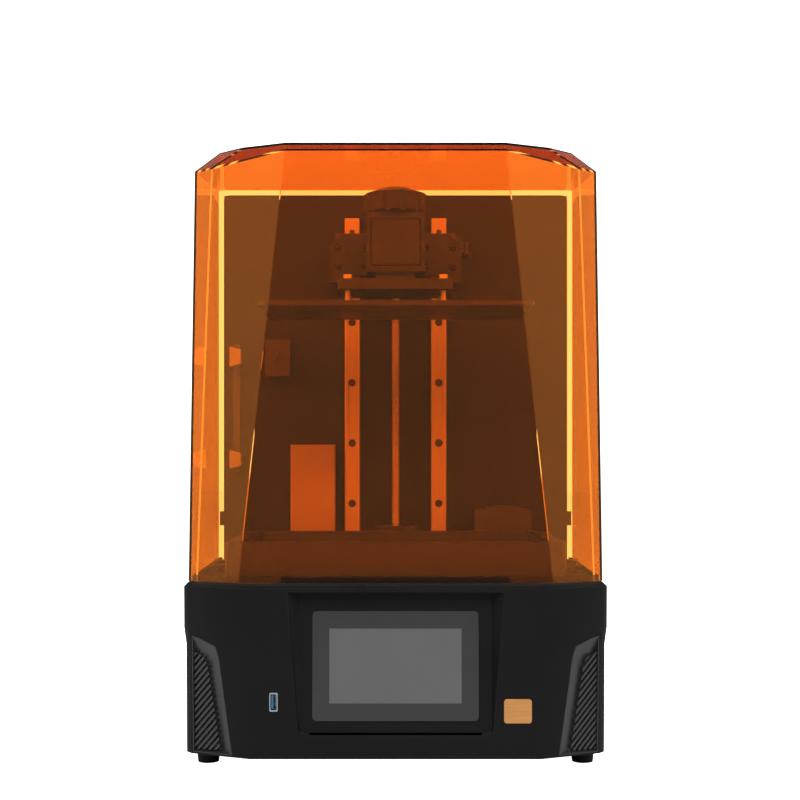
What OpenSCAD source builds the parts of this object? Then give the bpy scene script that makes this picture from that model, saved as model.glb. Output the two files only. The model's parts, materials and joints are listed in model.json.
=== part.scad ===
// Resin printer: a base with a touch display, a resin vat over an LCD light engine,
// a rear column with two linear rails and a lead screw, a cantilevered build platform,
// and a faceted transparent hood that lifts off. Millimetres, +Z up, front towards -Y.
// Every depth below is counted from the base's front face; from_front() puts it in the frame.

/* [Base] */
// Width of the base across its sides
body_w = 360; // [352:1:366]
// Depth of the base from its front face to its rear face
body_d = 352; // [350:1:356]
// Height of the deck that the hood and the vat stand on
deck_z = 158; // [157:0.5:160]
// Height of the rubber feet
foot_h = 12.2; // [10:0.2:14]

/* [Hood] */
// Height of the hood's top face above the floor
hood_top_z = 533.5; // [532:0.5:545]
// Thickness of the hood's acrylic
hood_wall = 3; // [2.5:0.1:4]

/* [Platform] */
// Width of the build plate
plate_w = 242; // [200:1:246]
// Depth of the build plate, front to back
plate_d = 135; // [110:1:140]
// Thickness of the build plate
plate_t = 4; // [3:0.5:6]
// Height of the build plate's underside when it is raised
plate_z = 395.9; // [380:1:398]

/* [Vat] */
// Outer width of the resin vat
vat_w = 292; // [286:1:296]
// Outer depth of the resin vat
vat_d = 185; // [180:1:188]
// Height of the vat's rim above the deck
vat_h = 32.7; // [28:0.1:36]

/* [Z axis] */
// Distance of each rail from the centre line
rail_x = 43; // [40:0.5:48]
// Width and depth of the square linear rail
rail_size = 15; // [14:0.5:16]
// Diameter of the lead screw
screw_d = 8; // [7:0.5:9]

/* [Display] */
// Width of the display's cover glass
glass_w = 139; // [130:1:144]
// Height of the display's cover glass
glass_h = 91.4; // [85:0.2:95]

/* [Hidden] */
$fn = 64;
thin = 0.01;
rear_trim = 1.5;
badge_t = 0.7;
centre_y = (body_d + rear_trim - badge_t) / 2;

// Base outline: the front face, a slanted facet at each front corner, straight sides
base_wall = 3;
low_z = foot_h;
band_low_z = 105;
band_high_z = 119;
rim_z = deck_z - 4.2;
front_low = 121;
front_high = 131;
side_half = body_w / 2;
side_step = 2;
corner_w = 5;
corner_run = 7;
rear_chamfer = 10;
facet_slope = 20 / 44;
facet_angle = atan(facet_slope);
facet_tilt = 1.67;
deck_t = 3.2;
plate_gap = 0.3;

// Vat and light engine, centred under the build plate
vat_y = 122.5;
vat_rim_z = deck_z + vat_h;
vat_inner_w = 260;
vat_inner_d = 153;
ring_h = 3.7;
film_z = deck_z + ring_h;
film_t = 0.3;
vat_corner = 8;
ear_x = 160;
ear_t = 3;
stud_r = 3;
stud_fit = 0.05;
seat_gap = 0.1;
lcd_w = 254;
lcd_d = 152;
active_w = 223;
active_d = 126;

// Rear column
panel_y = 242.5;
panel_t = 3;
panel_half = 172;
panel_top_z = 526;
column_back_y = 320;
column_wall = 2.5;
tower_half = 62;
tower_back_y = 285.5;
tower_top_z = 516;
rail_z0 = 177;
rail_z1 = 500.5;
rail_bolt_z = 217;
rail_pitch = 60;
rail_bolts_n = 5;
screw_y = 233.5;
screw_z1 = 511;
bearing_r = 8;
bearing_h = 7;
bearing_fit = 0.05;
clear_r = screw_d / 2 + 1;

// Z motor under the deck
motor_w = 42.3;
motor_z1 = deck_z - deck_t;
motor_z0 = motor_z1 - 40;
rotor_r = 12.9;

// Moving carriage and platform
block_z0 = 443.5;
block_l = 40.1;
block_w = 33;
block_front_y = 216;
carriage_t = 10;
carriage_y = block_front_y - carriage_t;
arm_half = 22;
arm_z0 = 438.6;
arm_z1 = 480;
arm_front_y = 112;
cage_gap = 0.8;
cage_wall = 4;
cage_y0 = 113;
cage_y1 = 158;
cage_z1 = 487;
knob_y = 135.5;
knob_r = 29;
knob_z1 = 512;
mount_z0 = 414;
mount_t = 9.4;
boss_t = 4;
level_x = 43;
level_y = [104, 152];

// Light engine, fans and electronics inside the base
engine_w = 160;
engine_d = 110;
led_z = 98;
led_t = 2;
sink_t = 5;
fan_size = 80;
fan_t = 25;
fan_duct_r = 37.5;
fan_tip_r = 36.5;
fan_hub_r = 18;
fan_shaft_r = 2;
blade_n = 7;
exhaust_x = -110;
exhaust_z = 86;
led_fan_z = 34;
inlet_x = 115;
inlet_z = 84;
switch_z = 118;
rocker_y = body_d - 2.2;
rocker_h = 9.4;
rocker_pin = 6;
rocker_pin_r = 0.9;

// Display recess in the front face
recess_top_z = 151.3;
recess_low_z = 29.6;
recess_top_half = 90.4;
recess_low_half = 82.2;
recess_r = 9;
floor_half = 80.5;
floor_low_z = 33.2;
floor_low_y = 2.6;
floor_high_y = 8.6;
tray_back_y = 13;
lean = atan((floor_high_y - floor_low_y) / (recess_top_z - floor_low_z));
glass_z = 89;
glass_r = 3.6;
screen_w = 110.7;
screen_h = 62.3;
usb_x = -101.5;
usb_z = 59.6;

// ---------- helpers ----------

module from_front() {
    translate([0, -centre_y, 0]) children();
}

module block(low, high) {
    translate(low) cube(high - low);
}

module both_sides() {
    children();
    mirror([1, 0, 0]) children();
}

// Post along +Z from z0 to z1
module post(x, y, z0, z1, r) {
    translate([x, y, z0]) cylinder(r = r, h = z1 - z0);
}

// Rod along +Y from y0 to y1
module rod_y(x, z, y0, y1, r) {
    translate([x, y1, z]) rotate([90, 0, 0]) cylinder(r = r, h = y1 - y0);
}

module rounded_rect(w, h, r) {
    square([w - 2 * r, h], center = true);
    square([w, h - 2 * r], center = true);
    for (sx = [-1, 1], sy = [-1, 1])
        translate([sx * (w / 2 - r), sy * (h / 2 - r)]) circle(r);
}

// Rounded plate standing in the XZ plane, its front face at y0
module wall_plate(x, z, w, h, r, y0, y1) {
    translate([x, y1, z]) rotate([90, 0, 0]) linear_extrude(y1 - y0) rounded_rect(w, h, r);
}

// Rounded plate lying flat
module flat_plate(x, y, w, d, r, z0, z1) {
    translate([x, y, z0]) linear_extrude(z1 - z0) rounded_rect(w, d, r);
}

// Outline given in the front view, extruded from depth y0 to y1
module front_outline(points, y0, y1) {
    translate([0, y1, 0]) rotate([90, 0, 0]) linear_extrude(y1 - y0) polygon(points);
}

// ---------- base outline ----------

function front_half(z) = front_low + (front_high - front_low) * (z - low_z) / (rim_z - low_z);

function half_ring(front, side, inset) = let (
    cx = side - corner_w,
    cy = (cx - front) * facet_slope
) [
    [front - 0.25 * inset, inset],
    [cx - 0.75 * inset, cy + 0.6 * inset],
    [side - inset, cy + corner_run + 0.3 * inset],
    [side - inset, body_d - rear_chamfer - 0.4 * inset],
    [side - rear_chamfer - 0.4 * inset, body_d - inset]
];

function mirrored(points) = [for (i = [len(points) - 1 : -1 : 0]) [-points[i][0], points[i][1]]];

function ring(front, side, inset = 0) = let (half = half_ring(front, side, inset))
    concat(half, mirrored(half));

module slab(points, z) {
    translate([0, 0, z]) linear_extrude(thin) polygon(points);
}

module loft(ring_a, z_a, ring_b, z_b) {
    hull() {
        slab(ring_a, z_a);
        slab(ring_b, z_b - thin);
    }
}

// Frame of the right front facet: X along it, Z up it, Y into the base
module on_facet() {
    translate([front_low, 0, low_z]) rotate([0, 0, facet_angle]) rotate([facet_tilt, 0, 0])
        children();
}

function facet_point(x, z) =
    [(x - front_low - 0.012 * (z - low_z)) / cos(facet_angle), z - low_z];

grille_outer = [facet_point(136.8, 13.6), facet_point(148, 94.2), facet_point(151.2, 104.6),
    facet_point(164.8, 110.4), facet_point(172.4, 112.6), facet_point(171.8, 13.6)];
grille_inner = [facet_point(147.8, 17), facet_point(159, 87.8), facet_point(162.2, 94.2),
    facet_point(167.4, 97.5), facet_point(171.6, 98.9), facet_point(171.2, 16)];

module facet_outline(points, y0, y1) {
    on_facet() translate([0, y1, 0]) rotate([90, 0, 0]) linear_extrude(y1 - y0) polygon(points);
}

recess_outline = [[recess_top_half, recess_top_z], [recess_low_half, recess_low_z + recess_r],
    [recess_low_half - recess_r * 0.3, recess_low_z + recess_r * 0.3],
    [recess_low_half - recess_r, recess_low_z]];

function front_mirrored(points) = concat(points, mirrored(points));

// ---------- base ----------

module base_body() {
    loft(ring(front_half(low_z), side_half - side_step), low_z,
        ring(front_half(band_low_z), side_half - side_step), band_low_z);
    loft(ring(front_half(band_low_z), side_half - side_step), band_low_z,
        ring(front_half(band_high_z), side_half), band_high_z);
    loft(ring(front_half(band_high_z), side_half), band_high_z,
        ring(front_high, side_half), rim_z);
    loft(ring(front_high, side_half), rim_z,
        ring(front_high, side_half, 3.7), deck_z - 0.5);
}

module base_shell() {
    slot_n = 9;
    slot_pitch = 8;
    color([0.14, 0.14, 0.15]) from_front() difference() {
        base_body();
        loft(ring(front_low, side_half - side_step, base_wall), low_z - 2,
            ring(front_high, side_half - side_step, base_wall), deck_z + 2);
        front_outline(front_mirrored(recess_outline), -1, tray_back_y + 1);
        wall_plate(usb_x, usb_z, 7.4, 16.2, 1.2, -1, 5);
        both_sides() facet_outline(grille_outer, -4, 9);
        // exhaust slots, inlet and switch openings in the rear wall
        for (i = [0 : slot_n - 1]) {
            z = exhaust_z + (i - (slot_n - 1) / 2) * slot_pitch;
            half = sqrt(pow(fan_duct_r, 2) - pow(z - exhaust_z, 2));
            wall_plate(exhaust_x, z, 2 * half, 4.4, 2, body_d - 8, body_d + 1);
        }
        wall_plate(inlet_x, inlet_z, 28, 20.4, 1, body_d - 8, body_d + 1);
        wall_plate(inlet_x, switch_z, 19.8, 13.4, 1, body_d - 8, body_d + 1);
    }
}

module bottom_plate() {
    vent_n = 9;
    color([0.2, 0.2, 0.21]) from_front() {
        difference() {
            translate([0, 0, low_z]) linear_extrude(2)
                polygon(ring(front_low, side_half - side_step, base_wall + plate_gap));
            for (i = [0 : vent_n - 1])
                flat_plate((i - (vent_n - 1) / 2) * 9, vat_y, 4, 70, 1.9, low_z - 1, low_z + 3);
            both_sides() facet_outline(grille_outer, -4, 9);
        }
        // threaded standoffs under the mainboard
        for (x = [-162, -98], y = [198, 312]) post(x, y, low_z + 2, 24, 3);
        // posts that carry the light engine
        both_sides() for (y = [vat_y - 45, vat_y + 45])
            post(engine_w / 2 + 8, y, low_z + 2, led_z - led_t - sink_t, 4);
    }
}

module rubber_feet() {
    color([0.08, 0.08, 0.08]) from_front() both_sides() for (y = [50, 305])
        translate([162, y, 0]) cylinder(r1 = 9, r2 = 10.5, h = foot_h);
}

module deck_plate() {
    window_w = active_w + 9;
    window_d = active_d + 6;
    color([0.1, 0.1, 0.1]) from_front() difference() {
        union() {
            translate([0, 0, deck_z - deck_t]) linear_extrude(deck_t)
                polygon(ring(front_high, side_half - side_step, base_wall + plate_gap));
            both_sides() post(ear_x, vat_y, deck_z - 8.2, deck_z - deck_t, 6);
        }
        block([-window_w / 2, vat_y - window_d / 2, deck_z - 6],
            [window_w / 2, vat_y + window_d / 2, deck_z + 1]);
        post(0, screw_y, deck_z - 6, deck_z + 1, clear_r);
        both_sides() post(ear_x, vat_y, deck_z - 10, deck_z + 1, stud_r + stud_fit);
    }
}

// ---------- display, USB port, badge, grilles ----------

module recess_void() {
    low_r = 7;
    hull() {
        for (sx = [-1, 1]) {
            rod_y(sx * (recess_low_half - recess_r - 0.2), recess_low_z + recess_r,
                -0.1, 0, recess_r - 0.8);
            block([sx * (recess_top_half - 1.3) - 0.5, -0.1, recess_top_z - 1.6],
                [sx * (recess_top_half - 1.3) + 0.5, 0, recess_top_z - 0.6]);
            rod_y(sx * (floor_half - low_r), floor_low_z + low_r,
                floor_low_y + 0.2, floor_low_y + 0.3, low_r);
            block([sx * (floor_half - 0.5) - 0.5, floor_high_y, recess_top_z - 3],
                [sx * (floor_half - 0.5) + 0.5, floor_high_y + 0.1, recess_top_z - 2]);
        }
    }
}

// Frame of the leaning display: origin at the centre of its glass
module on_display() {
    depth = floor_low_y + (glass_z - floor_low_z) * tan(lean);
    translate([0, depth, glass_z]) rotate([-lean, 0, 0]) children();
}

module display_tray() {
    tray_gap = 0.25;
    groove_half = 72;
    tray_points = [[recess_top_half - tray_gap, recess_top_z - tray_gap],
        [recess_low_half - tray_gap, recess_low_z + recess_r],
        [recess_low_half - recess_r * 0.3 - tray_gap, recess_low_z + recess_r * 0.3 + tray_gap],
        [recess_low_half - recess_r, recess_low_z + tray_gap]];
    color([0.15, 0.15, 0.16]) from_front() difference() {
        front_outline(front_mirrored(tray_points), 0.1, tray_back_y);
        recess_void();
        block([-groove_half, floor_low_y - 1, recess_low_z + 1],
            [groove_half, floor_low_y + 5, floor_low_z + 0.6]);
        on_display() wall_plate(0, 0, glass_w + 0.6, glass_h + 0.6, glass_r + 0.3, -3, 1.8);
        on_display() wall_plate(0, 0, screen_w + 8, screen_h + 8, 2, 0, 12);
    }
}

module display_glass() {
    color([0.25, 0.25, 0.26]) from_front() on_display() difference() {
        wall_plate(0, 0, glass_w, glass_h, glass_r, -0.2, 1.7);
        wall_plate(0, 0, screen_w, screen_h, 0.6, -1, 3);
    }
}

module display_panel() {
    color([0.4, 0.4, 0.41]) from_front() on_display() {
        wall_plate(0, 0, screen_w - 0.1, screen_h - 0.1, 0.5, -0.1, 1.8);
        wall_plate(0, 0, screen_w + 7, screen_h + 7, 1.5, 1.8, 3.6);
    }
}

module usb_shell() {
    color([0.75, 0.75, 0.76]) from_front() difference() {
        wall_plate(usb_x, usb_z, 6.9, 15.6, 1, 0.1, 14);
        wall_plate(usb_x, usb_z, 5.1, 13.2, 0.6, -1, 12.5);
    }
}

module usb_tongue() {
    color([0.1, 0.35, 0.75]) from_front()
        block([usb_x - 1.9, 0.9, usb_z - 5.6], [usb_x - 0.1, 12.5, usb_z + 5.6]);
}

module badge() {
    color([0.76, 0.54, 0.3]) from_front() wall_plate(101.8, 52.2, 23, 20.1, 2.5, -badge_t, 0);
}

// Corner grille: a bevelled rim, a floor and diagonal ribs; rise is the ribs' direction
module grille(rise) {
    depth = 5;
    floor_t = 2;
    rib_t = 2;
    rib_pitch = 4;
    rib_n = 18;
    rib_angle = 47;
    reach = 120;
    centre = facet_point(159.5, 56);
    color([0.17, 0.17, 0.18]) from_front() on_facet() {
        difference() {
            translate([0, depth + floor_t, 0]) rotate([90, 0, 0])
                linear_extrude(depth + floor_t - 0.1) offset(delta = -0.2) polygon(grille_outer);
            hull() {
                translate([0, 0.2, 0]) rotate([90, 0, 0])
                    linear_extrude(0.2) offset(delta = -0.9) polygon(grille_outer);
                translate([0, depth, 0]) rotate([90, 0, 0])
                    linear_extrude(thin) polygon(grille_inner);
            }
        }
        intersection() {
            translate([0, depth + 0.5, 0]) rotate([90, 0, 0])
                linear_extrude(depth - 1) polygon(grille_inner);
            for (i = [-rib_n : rib_n])
                translate([centre[0], 0, centre[1]]) rotate([0, -rise * rib_angle, 0])
                    translate([0, depth / 2, i * rib_pitch])
                    cube([reach, 2 * depth, rib_t], center = true);
        }
    }
}

module grille_left() {
    mirror([1, 0, 0]) grille(-1);
}

module grille_right() {
    grille(1);
}

// ---------- rear interfaces ----------

module power_inlet() {
    blade_z = 2;
    color([0.06, 0.06, 0.06]) from_front() {
        difference() {
            union() {
                wall_plate(inlet_x, inlet_z, 31, 24, 2, body_d, body_d + rear_trim);
                wall_plate(inlet_x, inlet_z, 27.6, 20, 1, body_d - 20, body_d);
            }
            wall_plate(inlet_x, inlet_z, 24.2, 16.6, 2, body_d - 16.5, body_d + 2);
        }
        for (dx = [-7, 0, 7])
            block([inlet_x + dx - 1, body_d - 17, inlet_z - 2 + (dx == 0 ? blade_z : -blade_z)],
                [inlet_x + dx + 1, body_d - 8, inlet_z + 2 + (dx == 0 ? blade_z : -blade_z)]);
    }
}

module switch_frame() {
    color([0.06, 0.06, 0.06]) from_front() difference() {
        union() {
            wall_plate(inlet_x, switch_z, 21, 15, 1, body_d, body_d + rear_trim - 0.5);
            wall_plate(inlet_x, switch_z, 19.4, 13, 0.8, body_d - 14, body_d);
        }
        wall_plate(inlet_x, switch_z, 16.8, 10.6, 0.5, body_d - 12, body_d + 2);
        post(inlet_x, rocker_y, switch_z - rocker_pin - 1, switch_z + rocker_pin + 1,
            rocker_pin_r + bearing_fit);
    }
}

// The rocker tips about a vertical pin and stays clear of its frame all the way
module switch_rocker() {
    half = 7.4;
    color([0.1, 0.1, 0.1]) from_front() {
        translate([inlet_x, rocker_y, switch_z - rocker_h / 2]) linear_extrude(rocker_h)
            polygon([[-half, -3], [half, -3], [half, 1.4], [0, 1.2], [-half, 3]]);
        post(inlet_x, rocker_y, switch_z - rocker_pin, switch_z + rocker_pin, rocker_pin_r);
    }
}

// Axial fan, its flow along +Z, centred on the origin: a duct with a spider at its outlet
module fan_frame() {
    spider_t = 4;
    strut_w = 4;
    lip = 3;
    corner = 35.75;
    difference() {
        translate([0, 0, -fan_t / 2]) linear_extrude(fan_t) rounded_rect(fan_size, fan_size, 5);
        post(0, 0, -fan_t / 2 - 1, fan_t / 2 - spider_t, fan_duct_r);
        translate([0, 0, fan_t / 2 - spider_t - 1]) linear_extrude(spider_t + 2) difference() {
            circle(fan_duct_r - lip);
            circle(fan_hub_r);
            square([2 * fan_duct_r, strut_w], center = true);
            square([strut_w, 2 * fan_duct_r], center = true);
        }
        for (sx = [-1, 1], sy = [-1, 1])
            post(sx * corner, sy * corner, -fan_t / 2 - 1, fan_t / 2 + 1, 2.15);
        post(0, 0, fan_t / 2 - spider_t - 1, fan_t / 2 - 1, fan_shaft_r + bearing_fit);
    }
}

module fan_rotor() {
    blade_angle = 38;
    post(0, 0, -fan_t / 2 + 1, fan_t / 2 - 4.5, fan_hub_r - 0.6);
    post(0, 0, fan_t / 2 - 5, fan_t / 2 - 1.5, fan_shaft_r);
    intersection() {
        post(0, 0, -fan_t / 2 + 1.5, fan_t / 2 - 5, fan_tip_r);
        for (i = [0 : blade_n - 1])
            rotate([0, 0, i * 360 / blade_n]) translate([0, 0, -2]) rotate([blade_angle, 0, 0])
                translate([fan_hub_r - 2, -11, -0.8]) cube([fan_tip_r, 22, 1.6]);
    }
}

module exhaust_place() {
    translate([exhaust_x, body_d - base_wall - fan_t / 2 - 0.1, exhaust_z]) rotate([-90, 0, 0])
        children();
}

module exhaust_fan_frame() {
    color([0.1, 0.1, 0.1]) from_front() exhaust_place() fan_frame();
}

module exhaust_fan_rotor() {
    color([0.12, 0.12, 0.12]) from_front() exhaust_place() fan_rotor();
}

// ---------- electronics ----------

module mainboard() {
    board_z = 24;
    color([0.05, 0.3, 0.15]) from_front() {
        difference() {
            block([-168, 190, board_z], [-92, 320, board_z + 1.6]);
            for (x = [-162, -98], y = [198, 312]) post(x, y, board_z - 1, board_z + 3, 1.7);
        }
        block([-142, 244, board_z + 1.6], [-114, 272, board_z + 9]);
        for (i = [0 : 4]) block([-160 + i * 12, 204, board_z + 1.6], [-152 + i * 12, 211, board_z + 8]);
        for (i = [0 : 3]) block([-104, 222 + i * 20, board_z + 1.6], [-97, 234 + i * 20, board_z + 12]);
        for (i = [0 : 2]) post(-156, 236 + i * 13, board_z + 1.6, board_z + 14, 4);
    }
}

// Sheet metal case with two rows of vents in its lid
module power_supply() {
    low = [94, 150, low_z + 2];
    high = [168, 318, low_z + 44];
    sheet = 1.2;
    vent_n = 8;
    color([0.72, 0.73, 0.74]) from_front() difference() {
        block(low, high);
        block(low + sheet * [1, 1, 1], high - sheet * [1, 1, 1]);
        for (x = [104, 134], i = [0 : vent_n - 1])
            block([x, 172 + i * 16, high[2] - 2 * sheet], [x + 24, 178 + i * 16, high[2] + 1]);
    }
}

module led_board() {
    led_n = [9, 6];
    pitch = 17;
    color([0.9, 0.9, 0.88]) from_front() {
        block([-engine_w / 2, vat_y - engine_d / 2, led_z - led_t],
            [engine_w / 2, vat_y + engine_d / 2, led_z]);
        for (i = [0 : led_n[0] - 1], j = [0 : led_n[1] - 1])
            translate([(i - (led_n[0] - 1) / 2) * pitch, vat_y + (j - (led_n[1] - 1) / 2) * pitch,
                led_z]) linear_extrude(1.6) square(3.4, center = true);
    }
}

module led_heatsink() {
    fin_n = 21;
    fin_t = 2;
    fin_h = 29;
    ledge = 12;
    sink_z = led_z - led_t - sink_t;
    color([0.62, 0.63, 0.64]) from_front() {
        block([-engine_w / 2 - ledge, vat_y - engine_d / 2, sink_z],
            [engine_w / 2 + ledge, vat_y + engine_d / 2, led_z - led_t]);
        for (i = [0 : fin_n - 1])
            translate([-engine_w / 2 + i * (engine_w - fin_t) / (fin_n - 1),
                vat_y - engine_d / 2, sink_z - fin_h]) cube([fin_t, engine_d, fin_h + 1]);
    }
}

module led_lens_plate() {
    color([0.85, 0.9, 0.95, 0.5]) from_front()
        flat_plate(0, vat_y, engine_w, engine_d, 2, led_z + 5, led_z + 8);
}

module light_funnel() {
    funnel_z0 = led_z + 9;
    funnel_z1 = deck_z - deck_t - 0.3;
    wall = 1.5;
    color([0.8, 0.8, 0.8]) from_front() difference() {
        hull() {
            block([-engine_w / 2, vat_y - engine_d / 2, funnel_z0],
                [engine_w / 2, vat_y + engine_d / 2, funnel_z0 + thin]);
            block([-active_w / 2, vat_y - active_d / 2, funnel_z1 - thin],
                [active_w / 2, vat_y + active_d / 2, funnel_z1]);
        }
        hull() {
            block([wall - engine_w / 2, vat_y - engine_d / 2 + wall, funnel_z0 - thin],
                [engine_w / 2 - wall, vat_y + engine_d / 2 - wall, funnel_z0]);
            block([wall - active_w / 2, vat_y - active_d / 2 + wall, funnel_z1],
                [active_w / 2 - wall, vat_y + active_d / 2 - wall, funnel_z1 + thin]);
        }
    }
}

module led_fan_place() {
    translate([0, vat_y, led_fan_z + fan_t / 2]) children();
}

module led_fan_frame() {
    color([0.1, 0.1, 0.1]) from_front() led_fan_place() fan_frame();
}

module led_fan_rotor() {
    color([0.12, 0.12, 0.12]) from_front() led_fan_place() fan_rotor();
}

module lcd_panel() {
    color([0.05, 0.05, 0.06]) from_front()
        flat_plate(0, vat_y, lcd_w, lcd_d, 1, deck_z, deck_z + 1.8);
}

module lcd_glass() {
    color([0.2, 0.22, 0.25, 0.6]) from_front()
        flat_plate(0, vat_y, lcd_w - 2, lcd_d - 2, 1, deck_z + 1.8, deck_z + 3.3);
}

// ---------- vat ----------

module vat_frame() {
    lip = 3;
    color([0.16, 0.16, 0.17]) from_front() difference() {
        union() {
            flat_plate(0, vat_y, vat_w, vat_d, vat_corner, film_z + film_t, vat_rim_z);
            flat_plate(0, vat_y, 2 * ear_x + 16, 26, 4, film_z + film_t, film_z + film_t + ear_t);
        }
        flat_plate(0, vat_y, vat_inner_w, vat_inner_d, 6, film_z - 1, vat_rim_z + 1);
        // stepped inner lip round the rim
        flat_plate(0, vat_y, vat_inner_w + 2 * lip, vat_inner_d + 2 * lip, 8,
            vat_rim_z - 2, vat_rim_z + 1);
        both_sides() post(ear_x, vat_y, film_z - 1, film_z + 12, stud_r + 0.4);
    }
}

module vat_film() {
    color([0.8, 0.85, 0.9, 0.4]) from_front()
        flat_plate(0, vat_y, vat_inner_w + 12, vat_inner_d + 12, 7, film_z, film_z + film_t);
}

module vat_clamp_ring() {
    color([0.5, 0.5, 0.52]) from_front() difference() {
        flat_plate(0, vat_y, vat_w - 4, vat_d - 4, vat_corner, deck_z, film_z);
        flat_plate(0, vat_y, vat_inner_w + 4, vat_inner_d + 4, 6, deck_z - 1, film_z + 1);
        vat_screw_places() post(0, 0, deck_z - 1, film_z + 1, 1.6);
    }
}

module vat_screw_places() {
    edge_x = vat_w / 2 - 7;
    edge_y = vat_d / 2 - 7;
    for (sx = [-1, 1], y = [-60, -20, 20, 60]) translate([sx * edge_x, vat_y + y, 0]) children();
    for (sy = [-1, 1], x = [-110, -55, 0, 55, 110])
        translate([x, vat_y + sy * edge_y, 0]) children();
}

module vat_screws() {
    color([0.15, 0.15, 0.15]) from_front() vat_screw_places() post(0, 0, deck_z + 0.4, film_z, 1.5);
}

// Knurled thumbscrew that holds the vat's ear down
module thumbscrew() {
    head_z = film_z + film_t + ear_t + seat_gap;
    head_h = 4;
    head_r = 7;
    knurl_n = 20;
    color([0.12, 0.12, 0.13]) from_front() {
        difference() {
            post(ear_x, vat_y, head_z, head_z + head_h, head_r);
            for (i = [0 : knurl_n - 1])
                translate([ear_x, vat_y, 0]) rotate([0, 0, i * 360 / knurl_n])
                    translate([head_r + 0.4, 0, head_z + 1])
                        cylinder(r = 0.8, h = head_h - 2, $fn = 16);
        }
        post(ear_x, vat_y, deck_z - 8, head_z, stud_r);
    }
}

module thumbscrew_left() {
    mirror([1, 0, 0]) thumbscrew();
}

module thumbscrew_right() {
    thumbscrew();
}

// ---------- rear column ----------

module back_panel() {
    corner = 6;
    tab_z = 194.6;
    tab_h = 14;
    color([0.09, 0.09, 0.09]) from_front() {
        difference() {
            union() {
                block([-panel_half, panel_y, deck_z], [panel_half, panel_y + panel_t,
                    panel_top_z - corner]);
                wall_plate(0, panel_top_z - 20, 2 * panel_half, 40, corner, panel_y,
                    panel_y + panel_t);
            }
            both_sides() rail_holes(panel_y - 1, panel_y + panel_t + 1, 2.3);
        }
        both_sides() block([panel_half, panel_y + 0.5, tab_z],
            [panel_half + 4.2, panel_y + 6, tab_z + tab_h]);
    }
}

module rail_holes(y0, y1, r) {
    for (i = [0 : rail_bolts_n - 1]) rod_y(rail_x, rail_bolt_z + i * rail_pitch, y0, y1, r);
}

module column_cover() {
    chamfer = 14;
    y0 = panel_y + panel_t;
    outline = [[panel_half, y0], [panel_half, column_back_y - chamfer],
        [panel_half - chamfer, column_back_y]];
    inside = [[panel_half - column_wall, y0 - 1],
        [panel_half - column_wall, column_back_y - chamfer - 1],
        [panel_half - chamfer - 1, column_back_y - column_wall]];
    slot_n = 8;
    color([0.13, 0.13, 0.14]) from_front() difference() {
        translate([0, 0, deck_z]) linear_extrude(panel_top_z - deck_z)
            polygon(concat(outline, mirrored(outline)));
        translate([0, 0, deck_z - 1]) linear_extrude(panel_top_z - deck_z + 1 - column_wall)
            polygon(concat(inside, mirrored(inside)));
        both_sides() for (i = [0 : slot_n - 1])
            wall_plate(70, 410 + i * 9, 90, 4, 1.9, column_back_y - 5, column_back_y + 1);
    }
}

module z_tower() {
    y0 = panel_y + panel_t;
    flange = 6;
    color([0.6, 0.61, 0.62]) from_front() difference() {
        block([-tower_half, y0, deck_z], [tower_half, tower_back_y, tower_top_z]);
        block([-tower_half + flange, y0 + flange + 4, deck_z + flange],
            [tower_half - flange, tower_back_y + 1, tower_top_z - flange]);
        both_sides() rail_holes(y0 - 1, y0 + flange + 5, 2.05);
    }
}

module rail() {
    waist = 1.6;
    h = rail_size;
    w = rail_size / 2;
    y1 = panel_y;
    y0 = panel_y - h;
    color([0.78, 0.79, 0.8]) from_front() difference() {
        translate([rail_x, 0, rail_z0]) linear_extrude(rail_z1 - rail_z0)
            polygon([[-w, y0 + 0.8], [-w + 0.8, y0], [w - 0.8, y0], [w, y0 + 0.8],
                [w, y0 + 3], [w - waist, y0 + 5], [w - waist, y0 + 7.5], [w, y0 + 9.5],
                [w, y1], [-w, y1], [-w, y0 + 9.5], [-w + waist, y0 + 7.5],
                [-w + waist, y0 + 5], [-w, y0 + 3]]);
        rail_holes(y0 - 1, y0 + 5.3, 3.75);
        rail_holes(y0, y1 + 1, 2.25);
    }
}

module rail_left() {
    mirror([1, 0, 0]) rail();
}

module rail_right() {
    rail();
}

module rail_bolts() {
    y0 = panel_y - rail_size;
    color([0.15, 0.15, 0.15]) from_front() both_sides() difference() {
        union() {
            rail_holes(y0 + 1.5, y0 + 5.3, 3.5);
            rail_holes(y0 + 5, panel_y + panel_t + 8, 2);
        }
        for (i = [0 : rail_bolts_n - 1])
            translate([rail_x, y0 + 1, rail_bolt_z + i * rail_pitch]) rotate([-90, 0, 0])
                cylinder(r = 1.7, h = 2.5, $fn = 6);
    }
}

// All the machine screws of the fixed parts, as one group of separate solids
module machine_screws() {
    vat_screws();
    rail_bolts();
}

module lead_screw() {
    color([0.75, 0.76, 0.77]) from_front() post(0, screw_y, motor_z0 + 2, screw_z1, screw_d / 2);
}

module motor_rotor() {
    color([0.35, 0.35, 0.36]) from_front() difference() {
        post(0, screw_y, motor_z0 + 8, motor_z1 - 8, rotor_r);
        post(0, screw_y, motor_z0, motor_z1, screw_d / 2);
    }
}

module z_motor() {
    color([0.12, 0.12, 0.13]) from_front() difference() {
        translate([0, screw_y, motor_z0]) linear_extrude(motor_z1 - motor_z0)
            rounded_rect(motor_w, motor_w, 4);
        post(0, screw_y, motor_z0 + 7, motor_z1 - 6, rotor_r + 0.6);
        post(0, screw_y, motor_z0 + 1.5, motor_z1 + 1, clear_r);
        for (sx = [-1, 1], sy = [-1, 1])
            translate([sx * 15.5, screw_y + sy * 15.5, 0])
                cylinder(r = 1.5, h = motor_z1 + 1);
    }
}

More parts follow.
